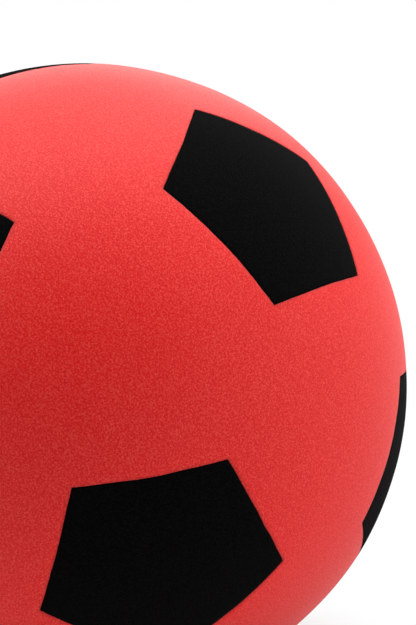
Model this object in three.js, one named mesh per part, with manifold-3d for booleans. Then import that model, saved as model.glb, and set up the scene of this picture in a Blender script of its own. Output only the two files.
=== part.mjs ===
// Foam soccer ball: one ball of red foam with twelve five-sided pockets in its surface, and a black
// foam pentagon bonded into each pocket, flush with the ball. The pentagons lie as on a classic
// 32-panel ball: one at each pole and five in a ring on each side of the equator. The red between
// them is one unbroken surface. Millimetres, +Z up, origin on the floor under the ball's centre.
import * as THREE from "three";
import { mergeGeometries, mergeVertices } from "three/addons/utils/BufferGeometryUtils.js";
import Module from "manifold-3d";

// Driving dimensions
const BALL_DIAMETER = 200;
const PENTAGON_SIDE = 40; // straight from corner to corner of a black pentagon
const INLAY_THICKNESS = 5; // of the black foam sheet
const BOND_GAP = 0.3; // glue line under and all round a pentagon
const FLOOR_FLAT_DIAMETER = 20; // where the foam flattens under its own weight
const FACET_LENGTH = 8; // about the longest facet edge on the ball

// Sizes that follow from them
const BALL_RADIUS = BALL_DIAMETER / 2;
const INLAY_FLOOR_RADIUS = BALL_RADIUS - INLAY_THICKNESS;
const POCKET_FLOOR_RADIUS = INLAY_FLOOR_RADIUS - BOND_GAP;
const CENTRE_HEIGHT = Math.sqrt(BALL_RADIUS ** 2 - (FLOOR_FLAT_DIAMETER / 2) ** 2);
const FACETS_PER_SIDE = Math.ceil(PENTAGON_SIDE / FACET_LENGTH);

// Angles of the layout, seen from the ball's centre
const SIDES = 5;
const HALF_SIDE = Math.PI / SIDES;
const RING_LATITUDE = Math.atan(0.5); // of the two rings of pentagons
const INLAY_REACH = Math.asin(PENTAGON_SIDE / (2 * BALL_RADIUS * Math.sin(HALF_SIDE))); // axis to corner
const POCKET_REACH = reachOf(insetOf(INLAY_REACH) + BOND_GAP / BALL_RADIUS);

// Angle from a pentagon's axis to the middle of a side, from the angle to a corner, and back
function insetOf(reach) {
  return Math.atan(Math.tan(reach) * Math.cos(HALF_SIDE));
}

function reachOf(inset) {
  return Math.atan(Math.tan(inset) / Math.cos(HALF_SIDE));
}

// The twelve pentagons: name and axis, a unit vector from the ball's centre
function layOutPentagons() {
  const up = new THREE.Vector3(0, 0, 1);
  const east = new THREE.Vector3(0, 1, 0);
  const at = (longitude, latitude) =>
    new THREE.Vector3(1, 0, 0).applyAxisAngle(east, -latitude).applyAxisAngle(up, longitude);
  const pentagons = [{ name: "top_pentagon", axis: up }];
  for (let i = 0; i < SIDES; i++) {
    const longitude = 2 * i * HALF_SIDE;
    pentagons.push({ name: `upper_pentagon_${i + 1}`, axis: at(longitude, RING_LATITUDE) });
    pentagons.push({ name: `lower_pentagon_${i + 1}`, axis: at(longitude + HALF_SIDE, -RING_LATITUDE) });
  }
  pentagons.push({ name: "bottom_pentagon", axis: new THREE.Vector3(0, 0, -1) });
  return pentagons;
}

// The five pentagons next to one, counter-clockwise as seen from outside the ball
function neighboursOf(pentagon, pentagons) {
  const { axis } = pentagon;
  const next = pentagons.filter((other) => other !== pentagon && other.axis.dot(axis) > 0);
  const east = new THREE.Vector3().crossVectors(next[0].axis, axis).normalize();
  const north = new THREE.Vector3().crossVectors(axis, east);
  const bearing = (other) => Math.atan2(other.axis.dot(north), other.axis.dot(east));
  return next.sort((a, b) => bearing(a) - bearing(b));
}

// A pentagon's corner points at a neighbour, so it lies on the arc between their axes
function cornerTowards(pentagon, neighbour, reach) {
  const turn = new THREE.Vector3().crossVectors(pentagon.axis, neighbour.axis).normalize();
  return pentagon.axis.clone().applyAxisAngle(turn, reach);
}

function cornersOf(pentagon, reach) {
  return pentagon.neighbours.map((neighbour) => cornerTowards(pentagon, neighbour, reach));
}

// A stretch of the ball's surface with great-circle sides: a fan of triangles round its middle,
// split into facets and pushed out to the radius
function dome(middle, corners, radius) {
  const points = [middle, ...corners].flatMap((point) => point.toArray());
  const fan = corners.flatMap((_, i) => [0, i + 1, ((i + 1) % corners.length) + 1]);
  return onlyPositions(new THREE.PolyhedronGeometry(points, fan, radius, FACETS_PER_SIDE - 1));
}

// The wall round a pentagon, from one radius out to another, facing away from its middle
function wall(corners, innerRadius, outerRadius) {
  const positions = [];
  const add = (...points) => points.forEach((point) => positions.push(...point.toArray()));
  corners.forEach((start, i) => {
    const end = corners[(i + 1) % corners.length];
    const along = (step) => start.clone().lerp(end, step / FACETS_PER_SIDE).normalize();
    for (let step = 0; step < FACETS_PER_SIDE; step++) {
      const [low, lowNext] = [along(step), along(step + 1)].map((p) => p.multiplyScalar(innerRadius));
      const [high, highNext] = [along(step), along(step + 1)].map((p) => p.multiplyScalar(outerRadius));
      add(low, lowNext, highNext, low, highNext, high);
    }
  });
  return new THREE.BufferGeometry().setAttribute("position", new THREE.Float32BufferAttribute(positions, 3));
}

function onlyPositions(geometry) {
  const open = geometry.index ? geometry.toNonIndexed() : geometry;
  return new THREE.BufferGeometry().setAttribute("position", open.getAttribute("position"));
}

// The same surface facing the other way
function turnedOver(geometry) {
  const position = geometry.getAttribute("position");
  const turned = [];
  for (let i = 0; i < position.count; i += 3) {
    for (const corner of [i, i + 2, i + 1]) {
      turned.push(position.getX(corner), position.getY(corner), position.getZ(corner));
    }
  }
  return new THREE.BufferGeometry().setAttribute("position", new THREE.Float32BufferAttribute(turned, 3));
}

// The red ball: its surface between the pockets, then the floor and wall of every pocket
function foamBody(pentagons) {
  const surfaces = [];
  for (const pentagon of pentagons) {
    pentagon.neighbours.forEach((left, i) => {
      const right = pentagon.neighbours[(i + 1) % SIDES];
      const trio = [pentagon, left, right];
      if (trio.some((other) => pentagons.indexOf(other) < pentagons.indexOf(pentagon))) return;
      surfaces.push(redHexagon(trio));
    });
    const rim = cornersOf(pentagon, POCKET_REACH);
    surfaces.push(dome(pentagon.axis, rim, POCKET_FLOOR_RADIUS));
    surfaces.push(turnedOver(wall(rim, POCKET_FLOOR_RADIUS, BALL_RADIUS)));
  }
  return mergeGeometries(surfaces);
}

// The red field between three pentagons that touch one another, as a hexagon
function redHexagon(trio) {
  const middle = new THREE.Vector3();
  const corners = [];
  trio.forEach((pentagon, i) => {
    const next = trio[(i + 1) % trio.length];
    middle.add(pentagon.axis);
    corners.push(cornerTowards(pentagon, next, POCKET_REACH), cornerTowards(next, pentagon, POCKET_REACH));
  });
  return dome(middle.normalize(), corners, BALL_RADIUS);
}

// A black pentagon: a piece of foam sheet bent to the ball
function pentagonInlay(pentagon) {
  const corners = cornersOf(pentagon, INLAY_REACH);
  return mergeGeometries([
    dome(pentagon.axis, corners, BALL_RADIUS),
    turnedOver(dome(pentagon.axis, corners, INLAY_FLOOR_RADIUS)),
    wall(corners, INLAY_FLOOR_RADIUS, BALL_RADIUS),
  ]);
}

// What lies under the floor plane, to be cut off the pentagon that the ball stands on
function floorBlock() {
  const depth = BALL_RADIUS;
  const block = new THREE.BoxGeometry(BALL_DIAMETER, BALL_DIAMETER, depth);
  return onlyPositions(block.translate(0, 0, -CENTRE_HEIGHT - depth / 2));
}

// Cuts one closed mesh from another
const wasm = await Module();
wasm.setup();

function solidOf(geometry) {
  const merged = mergeVertices(geometry);
  return new wasm.Manifold(
    new wasm.Mesh({
      numProp: 3,
      vertProperties: merged.getAttribute("position").array,
      triVerts: new Uint32Array(merged.index.array),
    }),
  );
}

function cutFrom(geometry, tool) {
  const mesh = solidOf(geometry).subtract(solidOf(tool)).getMesh();
  return new THREE.BufferGeometry()
    .setAttribute("position", new THREE.Float32BufferAttribute(mesh.vertProperties, mesh.numProp))
    .setIndex(new THREE.Uint32BufferAttribute(mesh.triVerts, 1));
}

// The assembly: each piece is a named mesh of matt foam in its own colour
const RED = 0xd8312d;
const BLACK = 0x121212;

function foamPiece(name, geometry, color) {
  geometry.computeVertexNormals();
  const foam = new THREE.MeshStandardMaterial({ color, roughness: 0.95, metalness: 0 });
  const mesh = new THREE.Mesh(geometry, foam);
  mesh.name = name;
  return mesh;
}

const pentagons = layOutPentagons();
for (const pentagon of pentagons) {
  pentagon.neighbours = neighboursOf(pentagon, pentagons);
}

const ball = new THREE.Group();
ball.name = "foam_soccer_ball";
ball.position.z = CENTRE_HEIGHT;
ball.add(foamPiece("foam_body", foamBody(pentagons), RED));
for (const pentagon of pentagons) {
  const inlay = pentagonInlay(pentagon);
  const touchesFloor = pentagon.name === "bottom_pentagon";
  ball.add(foamPiece(pentagon.name, touchesFloor ? cutFrom(inlay, floorBlock()) : inlay, BLACK));
}

export default ball;
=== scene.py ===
# %% [markdown]
# # A foam soccer ball
# A soft play ball is one ball of fine-celled foam. Twelve black foam pentagons are let into its red
# surface, flush with it, in the layout of a classic football. There is no cover, no seam and no valve.
#
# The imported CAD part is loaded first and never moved. Its solids are plain and faceted, so each of
# its thirteen foam pieces is replaced here by a finely divided, slightly uneven one in the same place.

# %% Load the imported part
import math
import random

import bpy
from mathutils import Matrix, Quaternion, Vector


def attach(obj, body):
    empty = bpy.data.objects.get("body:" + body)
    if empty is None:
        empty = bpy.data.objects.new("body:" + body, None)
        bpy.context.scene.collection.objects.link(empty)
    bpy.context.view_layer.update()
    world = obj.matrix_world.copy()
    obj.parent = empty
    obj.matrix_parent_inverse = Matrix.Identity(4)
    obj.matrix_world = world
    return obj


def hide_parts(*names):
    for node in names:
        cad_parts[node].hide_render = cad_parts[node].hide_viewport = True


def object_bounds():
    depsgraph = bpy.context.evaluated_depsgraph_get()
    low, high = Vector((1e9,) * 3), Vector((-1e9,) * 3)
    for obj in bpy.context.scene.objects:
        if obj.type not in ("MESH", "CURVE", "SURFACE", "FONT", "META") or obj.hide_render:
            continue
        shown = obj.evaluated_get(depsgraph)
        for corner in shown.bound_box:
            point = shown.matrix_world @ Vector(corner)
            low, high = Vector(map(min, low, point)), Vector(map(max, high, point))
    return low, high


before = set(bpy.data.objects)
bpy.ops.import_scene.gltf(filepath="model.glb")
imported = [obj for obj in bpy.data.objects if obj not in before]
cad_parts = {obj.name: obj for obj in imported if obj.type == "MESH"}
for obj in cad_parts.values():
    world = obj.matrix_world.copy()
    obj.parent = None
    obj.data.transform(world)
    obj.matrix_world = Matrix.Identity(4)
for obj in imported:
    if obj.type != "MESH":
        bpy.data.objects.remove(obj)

MM = 0.001  # Blender works in metres, and a ball is easier to think about in millimetres


def in_mm(lengths):
    return [round(length / MM, 2) for length in lengths]


cad_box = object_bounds()
print("CAD nodes:", len(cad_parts), "CAD box, mm:", [in_mm(point) for point in cad_box])

# %% [markdown]
# ## Sizes
# Every size is written as a number of millimetres times `MM`. The ball, the pentagon and the inlay
# repeat the CAD part's own sizes. The ball's centre is taken from the frame: one radius under the
# highest point, because the ball's foot is pressed a little flat on the floor.

# %% Sizes of the ball
BALL_RADIUS = 100 * MM
PENTAGON_SIDE = 40 * MM
PENTAGON_SIDES = 5
INLAY_THICKNESS = 5 * MM
BALL_CENTRE = Vector((0, 0, cad_box[1].z - BALL_RADIUS))

HALF_SIDE_TURN = math.pi / PENTAGON_SIDES
CORNER_REACH = math.asin(PENTAGON_SIDE / (2 * BALL_RADIUS * math.sin(HALF_SIDE_TURN)))
SIDE_REACH = math.atan(math.tan(CORNER_REACH) * math.cos(HALF_SIDE_TURN))
print("pentagon: middle to corner", round(math.degrees(CORNER_REACH), 2), "degrees,",
      "middle to side", round(BALL_RADIUS * SIDE_REACH / MM, 1), "mm along the ball")

# %% [markdown]
# ## Where the pentagons lie
# The middles of the twelve pentagons are the corners of an icosahedron: one at each pole, and five
# in a ring on each side of the equator, with the lower ring half a step round from the upper one.
# They could be typed in as a table of directions, but one short loop says the rule itself.
# Each pentagon has five neighbours, and each of its corners points at one of them.

# %% Middles of the pentagons
RING_LATITUDE = math.atan(0.5)  # of the two rings of corners in an icosahedron


def on_sphere(longitude, latitude):
    level = math.cos(latitude)
    return Vector((level * math.cos(longitude), level * math.sin(longitude), math.sin(latitude)))


middles = {"top_pentagon": Vector((0, 0, 1))}
for i in range(PENTAGON_SIDES):
    longitude = 2 * HALF_SIDE_TURN * i
    middles[f"upper_pentagon_{i + 1}"] = on_sphere(longitude, RING_LATITUDE)
    middles[f"lower_pentagon_{i + 1}"] = on_sphere(longitude + HALF_SIDE_TURN, -RING_LATITUDE)
middles["bottom_pentagon"] = Vector((0, 0, -1))
print("pentagons:", list(middles))


# %% Neighbours of the pentagons
def neighbours_of(name):
    """The five pentagons next to this one, counter-clockwise as seen from outside."""
    axis = middles[name]
    near = [other for other in middles if other != name and middles[other].dot(axis) > 0]
    east = middles[near[0]].cross(axis).normalized()
    north = axis.cross(east)
    return sorted(near, key=lambda other: math.atan2(middles[other].dot(north), middles[other].dot(east)))


neighbours = {name: neighbours_of(name) for name in middles}
print("neighbours of the top pentagon:", neighbours["top_pentagon"])

# %% [markdown]
# ## Cut by hand
# On the real ball the pentagons are cut and set by hand, so no two are alike, and some corners lie
# more than five millimetres from the ideal layout. A perfect pattern would look wrong at once beside
# the photograph. So the corners of the pentagons that it shows are moved to fit it, to the nearest
# half millimetre: first away from the pentagon's middle, then sideways, counter-clockwise.
# All other corners get a small scatter with a fixed seed.

# %% How far the corners are out of place
CORNER_MOVES = {
    ("upper_pentagon_1", "lower_pentagon_1"): (-0.5, 1.0),
    ("upper_pentagon_1", "upper_pentagon_2"): (-1.5, 2.5),
    ("upper_pentagon_1", "top_pentagon"): (1.5, 1.0),
    ("upper_pentagon_1", "upper_pentagon_5"): (0.0, 0.0),
    ("upper_pentagon_1", "lower_pentagon_5"): (0.0, 2.0),
    ("lower_pentagon_5", "upper_pentagon_5"): (0.0, -1.0),
    ("lower_pentagon_5", "lower_pentagon_4"): (-1.0, -3.5),
    ("lower_pentagon_5", "bottom_pentagon"): (-2.5, -0.5),
    ("lower_pentagon_5", "lower_pentagon_1"): (1.0, -0.5),
    ("lower_pentagon_5", "upper_pentagon_1"): (-1.0, -1.5),
    ("lower_pentagon_1", "upper_pentagon_1"): (5.0, 1.5),
    ("lower_pentagon_1", "lower_pentagon_5"): (4.5, 0.0),
    ("lower_pentagon_1", "bottom_pentagon"): (3.0, 0.0),
    ("lower_pentagon_1", "upper_pentagon_2"): (3.0, 2.0),
    ("top_pentagon", "upper_pentagon_5"): (1.5, 1.0),
    ("top_pentagon", "upper_pentagon_1"): (-5.5, -1.0),
    ("upper_pentagon_5", "upper_pentagon_1"): (1.5, -1.5),
}
HIDDEN_SCATTER = 1.2  # mm, the most that any other corner is out of place, each way
SCATTER_SEED = 12

scatter = random.Random(SCATTER_SEED)
corner_moves = {}
for name in middles:
    for neighbour in neighbours[name]:
        hidden = [scatter.uniform(-HIDDEN_SCATTER, HIDDEN_SCATTER) for _ in range(2)]
        corner_moves[name, neighbour] = CORNER_MOVES.get((name, neighbour), hidden)
print("corners set from the photograph:", len(CORNER_MOVES), "of", len(corner_moves))

# %% [markdown]
# ## Corners and sides
# A corner starts at its ideal place, as a direction from the ball's centre, and is then moved along
# the surface. The sides could be the shortest lines between the corners, but then they would look
# slightly swollen. A real side is cut straight in a flat sheet. Bent over the ball, its middle ends
# up a little nearer to the pentagon's middle, so each side gets a point of its own there.


# %% Corners and sides of a pentagon
def corner(name, neighbour, widen=0.0):
    """Direction of the corner that points at a neighbour. widen moves every side out by that much."""
    axis = middles[name]
    outward = (middles[neighbour] - axis * axis.dot(middles[neighbour])).normalized()
    ideal = axis * math.cos(CORNER_REACH) + outward * math.sin(CORNER_REACH)
    away = (outward - ideal * ideal.dot(outward)).normalized()
    move_out, move_aside = (move * MM / BALL_RADIUS for move in corner_moves[name, neighbour])
    real = (ideal + away * move_out + ideal.cross(away) * move_aside).normalized()
    turn = axis.angle(real) * widen / (BALL_RADIUS * SIDE_REACH)
    return Quaternion(axis.cross(real).normalized(), turn) @ real


def side_middle(name, start, end):
    """Middle of a side that was straight in the flat sheet, now that the sheet is bent to the ball."""
    axis = middles[name]
    flat_start, flat_end = (axis.cross(d).cross(axis).normalized() * axis.angle(d) for d in (start, end))
    halfway = (flat_start + flat_end) / 2
    return axis * math.cos(halfway.length) + halfway.normalized() * math.sin(halfway.length)


def with_next(items):
    """Every item paired with the one after it, and the last with the first."""
    return zip(items, items[1:] + items[:1])


for name in ("upper_pentagon_1", "bottom_pentagon"):
    corners = [corner(name, neighbour) for neighbour in neighbours[name]]
    sides = [BALL_RADIUS * start.angle(end) for start, end in with_next(corners)]
    print("sides of", name, "along the ball, mm:", in_mm(sides))

# %% [markdown]
# ## Cages
# Every foam piece starts as a cage: a few large faces that show only where its corners are. The
# red field is the twenty hexagons between the pentagons, each as six quads, and it stays open
# where a pocket goes. A pentagon is five quads. Quads divide into an even grid, where a plain
# sphere with cut-outs would have ragged edges. Each corner also carries the middle of the pentagon
# that it belongs to, because the wall and floor of the piece are built towards that middle.


# %% A cage with the middle of its pentagon on every corner
def cage(name, directions, faces, owners):
    mesh = bpy.data.meshes.new(name)
    mesh.from_pydata([BALL_CENTRE + BALL_RADIUS * d for d in directions], [], faces)
    middle = mesh.attributes.new("pentagon_middle", "FLOAT_VECTOR", "POINT")
    middle.data.foreach_set("vector", [x for owner in owners for x in middles[owner]])
    return mesh


def pentagon_cage(name):
    corners = [corner(name, neighbour) for neighbour in neighbours[name]]
    rim = []
    for start, end in with_next(corners):
        rim += [start, side_middle(name, start, end)]
    last = len(rim)
    faces = [(last, (i - 1) % last, i, i + 1) for i in range(0, last, 2)]
    return cage(f"{name}_cage", rim + [middles[name]], faces, [name] * (last + 1))


cages = {name: pentagon_cage(name) for name in middles}
print("quads in a pentagon's cage:", len(cages["top_pentagon"].polygons))

# %% The hexagons, each by the three pentagons round it
order = list(middles)
hexagons = []
for first in order:
    for second, third in with_next(neighbours[first]):
        # Every hexagon turns up three times, and is kept when it starts with its earliest pentagon
        if order.index(first) < min(order.index(second), order.index(third)):
            hexagons.append((first, second, third))
print("hexagons between the pentagons:", len(hexagons))

# %% The cage of the red field
JOINT_GAP = 0.1 * MM  # what stays open between red and black once the glue has pulled them together


def red_field_cage():
    directions = []
    owners = []
    faces = []
    index = {}

    def point(key, direction, owner):
        """Index of a point, which is added the first time it is asked for."""
        if key not in index:
            index[key] = len(directions)
            directions.append(direction)
            owners.append(owner)
        return index[key]

    for first, second, third in hexagons:
        corner_names = [(first, second), (second, first), (second, third),
                        (third, second), (third, first), (first, third)]
        rim = []
        for here, there in with_next(corner_names):
            start, end = (corner(*pair, widen=JOINT_GAP) for pair in (here, there))
            on_one_side = here[0] == there[0]
            halfway = side_middle(here[0], start, end) if on_one_side else (start + end).normalized()
            rim.append(point(here, start, here[0]))
            rim.append(point(frozenset((here, there)), halfway, here[0]))
        between = (middles[first] + middles[second] + middles[third]).normalized()
        centre = point((first, second, third), between, first)
        faces += [(centre, rim[i - 1], rim[i], rim[i + 1]) for i in range(0, len(rim), 2)]
    return cage("red_field_cage", directions, faces, owners)


cages["foam_body"] = red_field_cage()
print("quads in the red field's cage:", len(cages["foam_body"].polygons))

# %% [markdown]
# ## From cage to foam
# The pieces could be modelled one by one, but one rule turns any cage into a foam piece. So it is one
# Geometry Nodes tree that all thirteen share, with the sizes as its inputs. The next cells add its
# nodes step by step. Geometry and shader trees are both made of nodes with settings and sockets, so
# one helper serves both: it adds a node, sets it up, and links or fills its inputs, so that each
# statement reads as one node.


# %% The foam tree and its inputs
def add_node(tree, kind, inputs=None, **settings):
    node = tree.nodes.new(kind)
    for setting, value in settings.items():
        setattr(node, setting, value)
    for socket, value in (inputs or {}).items():
        if isinstance(value, bpy.types.NodeSocket):
            tree.links.new(value, node.inputs[socket])
        else:
            node.inputs[socket].default_value = value
    return node


INPUT_KINDS = {"Geometry": "Geometry", "Divisions": "Int", "Closing rings": "Int", "Ball radius": "Float",
               "Depth": "Float", "Wander": "Float", "Wander size": "Float", "Swell": "Float",
               "Swell size": "Float", "Dimple": "Float", "Dimple size": "Float", "Seed": "Float",
               "Ball centre": "Vector", "Foam": "Material"}
foam_tree = bpy.data.node_groups.new("Foam from cage", "GeometryNodeTree")
identifiers = {}
for name, kind in INPUT_KINDS.items():
    socket = foam_tree.interface.new_socket(name, in_out="INPUT", socket_type=f"NodeSocket{kind}")
    identifiers[name] = socket.identifier
foam_tree.interface.new_socket("Geometry", in_out="OUTPUT", socket_type="NodeSocketGeometry")
given = add_node(foam_tree, "NodeGroupInput").outputs
print("inputs of the foam tree:", list(identifiers))

# %% [markdown]
# ## A wandering knife
# The cage is divided into quads of one to two millimetres. A hand-held knife never runs quite true,
# so all points drift a little. Inside a piece that can't be seen, but the cut edges get small waves.
# Every cut could drift by itself, but that would open gaps. So the drift is a noise in space, the
# same for every piece: red and black drift together, and the joint stays closed. The direction of
# every point from the ball's centre is kept for later steps.

# %% Divide the cage and let the cut edges wander
NOISE_MIDDLE = 0.5  # a noise swings about this value
WAVE_DETAIL = 2.0  # finer waves on the long ones

fine = add_node(foam_tree, "GeometryNodeSubdivideMesh",
                {"Mesh": given["Geometry"], "Level": given["Divisions"]})
position = add_node(foam_tree, "GeometryNodeInputPosition").outputs[0]
wave_scale = add_node(foam_tree, "ShaderNodeMath", {0: 1.0, 1: given["Wander size"]}, operation="DIVIDE")
drift = add_node(foam_tree, "ShaderNodeTexNoise",
                 {"Vector": position, "W": given["Seed"], "Scale": wave_scale.outputs[0],
                  "Detail": WAVE_DETAIL}, noise_dimensions="4D")
both_ways = add_node(foam_tree, "ShaderNodeVectorMath",
                     {0: drift.outputs["Color"], 1: [NOISE_MIDDLE] * 3}, operation="SUBTRACT")
wandered = add_node(foam_tree, "ShaderNodeVectorMath",
                    {0: both_ways.outputs[0], 1: given["Wander"], 2: position}, operation="MULTIPLY_ADD")
from_centre = add_node(foam_tree, "ShaderNodeVectorMath",
                       {0: wandered.outputs[0], 1: given["Ball centre"]}, operation="SUBTRACT")
unit = add_node(foam_tree, "ShaderNodeVectorMath", {0: from_centre.outputs[0]}, operation="NORMALIZE")
kept = add_node(foam_tree, "GeometryNodeStoreNamedAttribute",
                {"Geometry": fine.outputs[0], "Name": "direction", "Value": unit.outputs[0]},
                data_type="FLOAT_VECTOR", domain="POINT")
direction = add_node(foam_tree, "GeometryNodeInputNamedAttribute", {"Name": "direction"},
                     data_type="FLOAT_VECTOR")
print("nodes so far:", len(foam_tree.nodes))

# %% [markdown]
# ## Out to the ball
# Every point is pushed out to the ball's radius. Soft foam is never quite round, so two noises
# change that radius: slow swells and small dimples. A Displace modifier on each piece could do it
# too, but in the tree one noise serves all pieces, so the pentagons stay flush with the red. Foam
# that would reach below the floor is pressed flat on it.

# %% Uneven radius
UNEVEN_DETAIL = 1.0  # swells and dimples are smooth, with only a little finer form

on_ball = add_node(foam_tree, "ShaderNodeVectorMath",
                   {0: direction.outputs[0], "Scale": given["Ball radius"]}, operation="SCALE")
radius = given["Ball radius"]
for height, size in (("Swell", "Swell size"), ("Dimple", "Dimple size")):
    scale = add_node(foam_tree, "ShaderNodeMath", {0: 1.0, 1: given[size]}, operation="DIVIDE")
    noise = add_node(foam_tree, "ShaderNodeTexNoise",
                     {"Vector": on_ball.outputs[0], "W": given["Seed"], "Scale": scale.outputs[0],
                      "Detail": UNEVEN_DETAIL}, noise_dimensions="4D")
    centred = add_node(foam_tree, "ShaderNodeMath", {0: noise.outputs[0], 1: NOISE_MIDDLE},
                       operation="SUBTRACT")
    radius = add_node(foam_tree, "ShaderNodeMath", {0: centred.outputs[0], 1: given[height], 2: radius},
                      operation="MULTIPLY_ADD").outputs[0]
pushed = add_node(foam_tree, "ShaderNodeVectorMath", {0: direction.outputs[0], "Scale": radius},
                  operation="SCALE")
print("nodes so far:", len(foam_tree.nodes))

# %% Round its centre, and pressed flat on the floor
placed = add_node(foam_tree, "ShaderNodeVectorMath", {0: pushed.outputs[0], 1: given["Ball centre"]},
                  operation="ADD")
parts = add_node(foam_tree, "ShaderNodeSeparateXYZ", {0: placed.outputs[0]})
above_floor = add_node(foam_tree, "ShaderNodeMath", {0: parts.outputs["Z"], 1: 0.0}, operation="MAXIMUM")
pressed = add_node(foam_tree, "ShaderNodeCombineXYZ",
                   {"X": parts.outputs["X"], "Y": parts.outputs["Y"], "Z": above_floor.outputs[0]})
skin = add_node(foam_tree, "GeometryNodeSetPosition",
                {"Geometry": kept.outputs[0], "Position": pressed.outputs[0]})
print("nodes so far:", len(foam_tree.nodes))

# %% [markdown]
# ## Along the joint
# The foam's colour is darker along a joint, so the material has to know where the joints are. A mask
# could be painted by hand, but a measured distance stays right when a size changes. The skin is still
# open where it was cut: an edge with only one face belongs to a joint. How far every point lies from
# the nearest such edge is stored on the mesh.

# %% Measure the distance from the joint
edge_faces = add_node(foam_tree, "GeometryNodeInputMeshEdgeNeighbors")
# Numbers 2 and 3 are the whole-number inputs of a Compare node
is_rim = add_node(foam_tree, "FunctionNodeCompare", {2: edge_faces.outputs[0], 3: 1},
                  data_type="INT", operation="EQUAL")
rim_edges = add_node(foam_tree, "GeometryNodeSeparateGeometry",
                     {"Geometry": skin.outputs[0], "Selection": is_rim.outputs[0]}, domain="EDGE")
to_rim = add_node(foam_tree, "GeometryNodeProximity", {0: rim_edges.outputs["Selection"]},
                  target_element="EDGES")
marked = add_node(foam_tree, "GeometryNodeStoreNamedAttribute",
                  {"Geometry": skin.outputs[0], "Name": "from_joint", "Value": to_rim.outputs["Distance"]},
                  data_type="FLOAT", domain="POINT")
print("nodes so far:", len(foam_tree.nodes))

# %% [markdown]
# ## Walls and floors
# A Solidify modifier could thicken the pentagons, but it would turn the red ball into a hollow shell.
# So a repeat zone draws the open rim down to a wall and then closes it towards the pentagon's middle,
# ring by ring. Under a pentagon that makes its underside, and in the red ball the floor of a pocket.
# The first turn stays straight below the rim, and each later one goes a share of the way inwards.
# The last ring shrinks to a point, whose doubles are merged.

# %% A ring that is drawn from the rim, again and again
middle = add_node(foam_tree, "GeometryNodeInputNamedAttribute", {"Name": "pentagon_middle"},
                  data_type="FLOAT_VECTOR")
ring_in = add_node(foam_tree, "GeometryNodeRepeatInput")
ring_out = add_node(foam_tree, "GeometryNodeRepeatOutput")
ring_in.pair_with_output(ring_out)
ring_out.repeat_items.new("BOOLEAN", "Rim")
turns = add_node(foam_tree, "ShaderNodeMath", {0: given["Closing rings"], 1: 1.0}, operation="ADD")
foam_tree.links.new(turns.outputs[0], ring_in.inputs["Iterations"])
foam_tree.links.new(marked.outputs[0], ring_in.inputs["Geometry"])
foam_tree.links.new(is_rim.outputs[0], ring_in.inputs["Rim"])
drawn = add_node(foam_tree, "GeometryNodeExtrudeMesh",
                 {"Mesh": ring_in.outputs["Geometry"], "Selection": ring_in.outputs["Rim"],
                  "Offset Scale": 0.0}, mode="EDGES")
print("nodes so far:", len(foam_tree.nodes))

# %% Where each ring goes
share = add_node(foam_tree, "ShaderNodeMath",
                 {0: ring_in.outputs["Iteration"], 1: given["Closing rings"]}, operation="DIVIDE")
# Numbers 4 and 5 are the vector inputs of a Mix node, and 1 is its vector output
towards = add_node(foam_tree, "ShaderNodeMix",
                   {0: share.outputs[0], 4: direction.outputs[0], 5: middle.outputs[0]}, data_type="VECTOR")
ring_unit = add_node(foam_tree, "ShaderNodeVectorMath", {0: towards.outputs[1]}, operation="NORMALIZE")
floor_radius = add_node(foam_tree, "ShaderNodeMath", {0: given["Ball radius"], 1: given["Depth"]},
                        operation="SUBTRACT")
ring_place = add_node(foam_tree, "ShaderNodeVectorMath",
                      {0: ring_unit.outputs[0], 1: floor_radius.outputs[0], 2: given["Ball centre"]},
                      operation="MULTIPLY_ADD")
ring = add_node(foam_tree, "GeometryNodeSetPosition",
                {"Geometry": drawn.outputs["Mesh"], "Selection": drawn.outputs["Top"],
                 "Position": ring_place.outputs[0]})
foam_tree.links.new(ring.outputs[0], ring_out.inputs["Geometry"])
foam_tree.links.new(drawn.outputs["Top"], ring_out.inputs["Rim"])
print("nodes so far:", len(foam_tree.nodes))

# %% Merge, smooth and dress
MERGE_DISTANCE = 0.001 * MM  # points that lie closer than this are one

closed = add_node(foam_tree, "GeometryNodeMergeByDistance",
                  {"Geometry": ring_out.outputs["Geometry"], "Distance": MERGE_DISTANCE})
smooth = add_node(foam_tree, "GeometryNodeSetShadeSmooth",
                  {"Geometry": closed.outputs[0], "Shade Smooth": True})
real = add_node(foam_tree, "GeometryNodeRealizeInstances", {"Geometry": smooth.outputs[0]})
dressed = add_node(foam_tree, "GeometryNodeSetMaterial",
                   {"Geometry": real.outputs[0], "Material": given["Foam"]})
add_node(foam_tree, "NodeGroupOutput", {"Geometry": dressed.outputs[0]})
print("foam tree:", len(foam_tree.nodes), "nodes")

# %% [markdown]
# ## Foam
# The ball is flexible polyurethane foam, dyed right through and cut to shape, so its surface is
# thousands of tiny cut cells. From a step away that gives the eye a fine grain of dark pits and
# paler cell walls, and a bloom where the surface turns away, because the walls that stand up at the
# edge catch the light. On the red the walls are also tinted paler and whiter as painted glints.
# Along a joint the colour is darker, so that red and black meet in a soft, ragged line.
#
# The cells could be real dents, but at this size a noise that tints the colour and bumps the
# surface looks the same. The bloom is the shader's own sheen. Both colours are the same foam, so one
# function makes them. The red one keeps a little gloss, and the black one none.


# %% Colours as they are written
def linear(hex_colour):
    """An sRGB hex colour as the linear RGBA that shaders use."""
    channels = [int(hex_colour[i:i + 2], 16) / 255 for i in (1, 3, 5)]
    return [c / 12.92 if c <= 0.04045 else ((c + 0.055) / 1.055) ** 2.4 for c in channels] + [1.0]


print("half grey, #808080, is", round(linear("#808080")[0], 3), "in linear light")

# %% Colour of the cells, from pit to skin to wall
PIT_TO_SKIN = (0.4, 0.6)  # the part of the noise that goes from a pit's colour to the skin's
SKIN_TO_WALL_AND_GLINT = (0.44, 0.68)  # and the part that goes on to the pale cell walls, on the red partly painted glints
BLOTCH_SIZE = 9 * MM  # the dye is slightly uneven over this distance
BLOTCH_DETAIL = 3.0
BLOTCH_RANGE = (0.25, 0.75)
BLOTCH_STRENGTH = 0.08


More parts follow.
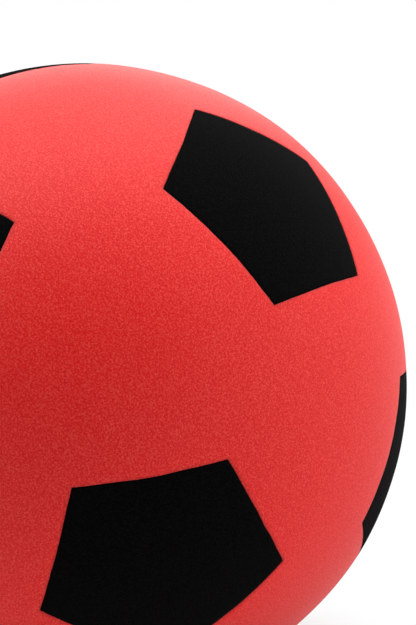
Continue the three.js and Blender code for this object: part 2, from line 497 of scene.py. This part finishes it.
def cell_colour(tree, place, cells, pit, skin, wall):
    blotches = add_node(tree, "ShaderNodeTexNoise",
                        {"Vector": place, "Scale": 1 / BLOTCH_SIZE, "Detail": BLOTCH_DETAIL})
    uneven = add_node(tree, "ShaderNodeMapRange",
                      {"Value": blotches.outputs[0], "From Min": BLOTCH_RANGE[0], "From Max": BLOTCH_RANGE[1],
                       "To Min": -BLOTCH_STRENGTH, "To Max": BLOTCH_STRENGTH})
    depth = add_node(tree, "ShaderNodeMapRange",
                     {"Value": cells, "From Min": PIT_TO_SKIN[0], "From Max": PIT_TO_SKIN[1]})
    tone = add_node(tree, "ShaderNodeMath", {0: depth.outputs[0], 1: uneven.outputs[0]}, operation="ADD")
    # Numbers 6 and 7 are a Mix node's colour inputs, and 2 is its colour output
    body = add_node(tree, "ShaderNodeMix", {0: tone.outputs[0], 6: linear(pit), 7: linear(skin)},
                    data_type="RGBA")
    # Pale cell walls; on the red their whiter tint is a painted glint
    wall_and_glint_share = add_node(tree, "ShaderNodeMapRange",
                    {"Value": cells, "From Min": SKIN_TO_WALL_AND_GLINT[0], "From Max": SKIN_TO_WALL_AND_GLINT[1]})
    grain = add_node(tree, "ShaderNodeMix", {0: wall_and_glint_share.outputs[0], 6: body.outputs[2], 7: linear(wall)},
                     data_type="RGBA")
    return grain.outputs[2]


print("blotches in the dye:", round(BLOTCH_SIZE / MM), "mm across")

# %% Darker along a joint
JOINT_DARKENING = 0.3  # share of the colour that is lost right at the joint
JOINT_DARKENING_FADE = 2.0  # the darkening fades with the square of the distance that is left to its end
JOINT_DARKENING_REACH = 1.5 * MM  # the colour is darker up to this far from a joint
JOINT_DARKENING_RAGGED = 0.8 * MM  # how far the darkening's edge jumps from cell to cell


def darkened_near_joint(tree, cells, colour, joint):
    from_joint = add_node(tree, "ShaderNodeAttribute", attribute_name="from_joint").outputs["Fac"]
    ragged = add_node(tree, "ShaderNodeMath", {0: cells, 1: JOINT_DARKENING_RAGGED, 2: from_joint},
                      operation="MULTIPLY_ADD")
    start = NOISE_MIDDLE * JOINT_DARKENING_RAGGED
    near = add_node(tree, "ShaderNodeMapRange",
                    {"Value": ragged.outputs[0], "From Min": start, "From Max": start + JOINT_DARKENING_REACH,
                     "To Min": JOINT_DARKENING ** (1 / JOINT_DARKENING_FADE), "To Max": 0.0})
    darkening = add_node(tree, "ShaderNodeMath", {0: near.outputs[0], 1: JOINT_DARKENING_FADE}, operation="POWER")
    darker = add_node(tree, "ShaderNodeMix", {0: darkening.outputs[0], 6: colour, 7: linear(joint)},
                      data_type="RGBA")
    return darker.outputs[2]


print("stain: up to", round(JOINT_DARKENING_REACH / MM, 1), "mm from a joint")

# %% What makes a material look like foam
GRAIN_SIZE = 0.45 * MM  # about a cell's width, and as fine as still shows in the picture
GRAIN_DETAIL = 2.0
GRAIN_ROUGHNESS = 0.6
CELL_DEPTH = 0.15 * MM
RELIEF = 0.7  # share of that depth that the bump shows
FOAM_ROUGHNESS = 0.6  # cut cells scatter the light, so there is no sharp highlight
BLOOM_ROUGHNESS = 0.45


def foam(name, pit, skin, wall, joint, gloss, bloom):
    material = bpy.data.materials.new(name)
    material.use_nodes = True
    tree = material.node_tree
    place = add_node(tree, "ShaderNodeTexCoord").outputs["Object"]
    cells = add_node(tree, "ShaderNodeTexNoise",
                     {"Vector": place, "Scale": 1 / GRAIN_SIZE, "Detail": GRAIN_DETAIL,
                      "Roughness": GRAIN_ROUGHNESS}).outputs[0]
    colour = darkened_near_joint(tree, cells, cell_colour(tree, place, cells, pit, skin, wall), joint)
    bump = add_node(tree, "ShaderNodeBump", {"Strength": RELIEF, "Distance": CELL_DEPTH, "Height": cells})
    shader = tree.nodes["Principled BSDF"]
    tree.links.new(colour, shader.inputs["Base Color"])
    tree.links.new(bump.outputs[0], shader.inputs["Normal"])
    shader.inputs["Roughness"].default_value = FOAM_ROUGHNESS
    shader.inputs["Specular IOR Level"].default_value = gloss
    shader.inputs["Sheen Weight"].default_value = bloom
    shader.inputs["Sheen Roughness"].default_value = BLOOM_ROUGHNESS
    return material


print("cells of about", round(GRAIN_SIZE / MM, 2), "mm")

# %% Red foam and black foam
# Warm red with paler specks, partly cell walls and partly painted glints, a soft shine from above
# and a pink bloom at the ball's edge
RED_FOAM = foam("Red polyurethane foam", pit="#e50000", skin="#ed0000", wall="#f4443b", joint="#180404",
                gloss=0.3, bloom=0.1)
# Deep black without any shine, with only a trace of grey bloom where it turns away
BLACK_FOAM = foam("Black polyurethane foam", pit="#060606", skin="#090909", wall="#101010", joint="#060606",
                  gloss=0.0, bloom=0.031)
print("materials:", RED_FOAM.name, "and", BLACK_FOAM.name)

# %% [markdown]
# ## The thirteen pieces
# Each piece is its cage with the foam tree on it, and a small bevel that eases the cut edges. Both
# could stay on it as live modifiers, but a plain mesh is what other programs can read. So the
# evaluated result is made one, and it takes the place of its CAD node. Nothing on a ball moves by
# itself, so every piece rides on the one body, "root".

# %% The form of the foam, the same for every piece
FOAM_FORM = {
    "Divisions": 4,  # every quad of a cage becomes 16 by 16
    "Closing rings": 6,  # rings from the wall to the middle of an underside
    "Ball radius": BALL_RADIUS,
    "Ball centre": BALL_CENTRE,
    "Wander": 0.6 * MM,  # full range of the knife's drift, whose ends the noise seldom reaches
    "Wander size": 6 * MM,
    "Swell": 1.6 * MM,  # full range of the swells, of which the noise uses a little over half
    "Swell size": 55 * MM,
    "Dimple": 0.08 * MM,
    "Dimple size": 7 * MM,
    "Seed": 306.0,
}
print("every quad of a cage becomes", 4 ** FOAM_FORM["Divisions"], "small ones")

# %% From cage to plain mesh
EDGE_EASE = 0.12 * MM  # a knife-cut foam edge is never quite sharp
EASE_STEPS = 2
EASED_ANGLE = math.radians(60)  # edges sharper than this are cut edges


def new_object(name, data):
    thing = bpy.data.objects.new(name, data)
    bpy.context.scene.collection.objects.link(thing)
    return thing


def foam_mesh(node, depth, material):
    """The finished mesh of a piece, without modifiers."""
    shape = new_object(f"{node}_shape", cages[node])
    from_cage = shape.modifiers.new("Foam from cage", "NODES")
    from_cage.node_group = foam_tree
    for name, value in {**FOAM_FORM, "Depth": depth, "Foam": material}.items():
        from_cage[identifiers[name]] = value
    ease = shape.modifiers.new("Eased edges", "BEVEL")
    ease.limit_method = "ANGLE"
    ease.angle_limit = EASED_ANGLE
    ease.width = EDGE_EASE
    ease.segments = EASE_STEPS
    evaluated = shape.evaluated_get(bpy.context.evaluated_depsgraph_get())
    mesh = bpy.data.meshes.new_from_object(evaluated)
    bpy.data.objects.remove(shape)
    for helper in ("direction", "pentagon_middle"):
        mesh.attributes.remove(mesh.attributes[helper])
    mesh.calc_loop_triangles()
    print(node, "triangles:", len(mesh.loop_triangles))
    return mesh


# %% Build the pieces
def foam_piece(node, depth, material):
    piece = new_object(f"{node}_foam", foam_mesh(node, depth, material))
    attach(piece, "root")
    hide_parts(node)


foam_piece("foam_body", INLAY_THICKNESS + JOINT_GAP, RED_FOAM)
for name in middles:
    foam_piece(name, INLAY_THICKNESS, BLACK_FOAM)

# %% [markdown]
# ## The camera
# The photograph is a close-up that cuts the ball off at the left and at the bottom. The camera could
# be placed by eye, but an error of a few pixels shows, so it is worked out. The picture's perspective
# puts the lens 0.42 m from the ball's centre. The camera is first pointed straight at the ball, then
# tilted about that line until the top pentagon leans as far left as it does in the picture, and
# last turned until the ball's centre falls on its pixel.

# %% What the photograph says about the camera
PICTURE = (416, 625)
BALL_CENTRE_PIXEL = (91.9, 380.6)
FOCAL_PIXELS = 1305
CAMERA_AZIMUTH = math.radians(48.7)
CAMERA_ELEVATION = math.radians(4.66)
CAMERA_DISTANCE = 420.9 * MM
CAMERA_ROLL = math.radians(-11.85)


def round_the_ball(azimuth, elevation):
    """Direction from the ball's centre, with the azimuth counted from the front, -Y, to the right, +X."""
    level = math.cos(elevation)
    return Vector((math.sin(azimuth) * level, -math.cos(azimuth) * level, math.sin(elevation)))


to_camera = round_the_ball(CAMERA_AZIMUTH, CAMERA_ELEVATION)
straight = to_camera.to_track_quat("Z", "Y") @ Quaternion((0, 0, 1), CAMERA_ROLL)
ball_in_view = Vector((BALL_CENTRE_PIXEL[0] - PICTURE[0] / 2, PICTURE[1] / 2 - BALL_CENTRE_PIXEL[1],
                       -FOCAL_PIXELS))
print("direction to the camera:", [round(x, 3) for x in to_camera])

# %% Camera at the photograph's angle
SENSOR = 36.0  # mm along the picture's long side
NEAREST_SEEN = 10 * MM

lens = bpy.data.cameras.new("photo_camera")
lens.sensor_width = SENSOR
lens.lens = FOCAL_PIXELS * SENSOR / max(PICTURE)
lens.clip_start = NEAREST_SEEN
camera = new_object("photo_camera", lens)
camera.location = BALL_CENTRE + to_camera * CAMERA_DISTANCE
camera.rotation_mode = "QUATERNION"
camera.rotation_quaternion = straight @ ball_in_view.rotation_difference(Vector((0, 0, -1)))
bpy.context.scene.camera = camera
print("lens", round(lens.lens, 1), "mm, camera at", in_mm(camera.location), "mm")

# %% [markdown]
# ## A white studio
# The photograph shows the ball on plain white. Lighting a backdrop until it is white would light
# the ball as well, so the surround is white only for what the camera and the gloss see of it, and
# gives no light. The floor is pale paper that keeps the ball's shadow near its foot and is seen as
# white further out. All light comes from four soft boxes: a wide strip above, two boxes on the right
# and one behind. That makes the top and the right edge brightest, as in the photograph.


# %% White surround
def looked_at(tree):
    """1 for a ray that looks from the camera, a gloss or a glass, and 0 for one that gathers light."""
    rays = add_node(tree, "ShaderNodeLightPath").outputs
    seen = add_node(tree, "ShaderNodeMath", {0: rays["Is Camera Ray"], 1: rays["Is Glossy Ray"]},
                    operation="MAXIMUM")
    shown = add_node(tree, "ShaderNodeMath", {0: seen.outputs[0], 1: rays["Is Transmission Ray"]},
                     operation="MAXIMUM")
    return shown.outputs[0]


surround = bpy.data.worlds.new("White surround")
surround.use_nodes = True
bpy.context.scene.world = surround
sky = surround.node_tree
background = sky.nodes["Background"]
background.inputs["Color"].default_value = linear("#ffffff")
sky.links.new(looked_at(sky), background.inputs["Strength"])
bpy.context.scene.view_settings.view_transform = "Standard"
print("surround:", surround.name)

# %% White paper
SHADOW_NEAR = 20 * MM  # the floor shows most of its shading up to this far from the ball's foot
SHADOW_FAR = 82 * MM  # and is seen as plain white from here on
WHITE_AT_FOOT = 0.4  # share of plain white at the foot itself

paper = bpy.data.materials.new("White paper")
paper.use_nodes = True
sheet = paper.node_tree
shaded = add_node(sheet, "ShaderNodeBsdfDiffuse", {"Color": linear("#e1e1e1")})
white = add_node(sheet, "ShaderNodeEmission", {"Color": linear("#ffffff"), "Strength": 1.0})
place = add_node(sheet, "ShaderNodeTexCoord").outputs["Object"]
from_foot = add_node(sheet, "ShaderNodeVectorMath", {0: place}, operation="LENGTH")
fade = add_node(sheet, "ShaderNodeMapRange",
                {"Value": from_foot.outputs["Value"], "From Min": SHADOW_NEAR, "From Max": SHADOW_FAR,
                 "To Min": WHITE_AT_FOOT, "To Max": 1.0}, interpolation_type="SMOOTHSTEP")
whiteness = add_node(sheet, "ShaderNodeMath", {0: looked_at(sheet), 1: fade.outputs[0]},
                     operation="MULTIPLY")
mixed = add_node(sheet, "ShaderNodeMixShader",
                 {0: whiteness.outputs[0], 1: shaded.outputs[0], 2: white.outputs[0]})
sheet.links.new(mixed.outputs[0], sheet.nodes["Material Output"].inputs["Surface"])
print("paper: shadow seen up to", round(SHADOW_FAR / MM), "mm from the foot")

# %% Floor
FLOOR_SIZE = 12.0  # metres

half = FLOOR_SIZE / 2
floor_mesh = bpy.data.meshes.new("floor")
floor_corners = [(-half, -half, 0), (half, -half, 0), (half, half, 0), (-half, half, 0)]
floor_mesh.from_pydata(floor_corners, [], [(0, 1, 2, 3)])
floor_mesh.materials.append(paper)
floor = new_object("floor", floor_mesh)
print("floor:", FLOOR_SIZE, "m wide")


# %% Soft boxes
def soft_box(name, azimuth, elevation, distance, size, power):
    """A lamp facing the ball, in degrees, metres and watts. Azimuth goes from the camera to the right."""
    away = round_the_ball(CAMERA_AZIMUTH + math.radians(azimuth), math.radians(elevation))
    light = bpy.data.lights.new(name, "AREA")
    light.shape = "RECTANGLE"
    light.size, light.size_y = size
    light.energy = power
    box = new_object(name, light)
    box.location = BALL_CENTRE + away * distance
    box.rotation_euler = away.to_track_quat("Z", "Y").to_euler()
    box.visible_camera = False
    print(name, power, "W at", in_mm(box.location), "mm")


soft_box("top_strip", azimuth=0, elevation=87, distance=1.5, size=(3.2, 0.8), power=41)
soft_box("right_top_box", azimuth=100, elevation=50, distance=1.7, size=(1.6, 1.2), power=8)
soft_box("right_box", azimuth=70, elevation=10, distance=1.6, size=(1.6, 0.7), power=7.5)
soft_box("back_box", azimuth=180, elevation=35, distance=1.7, size=(2.0, 0.9), power=12)
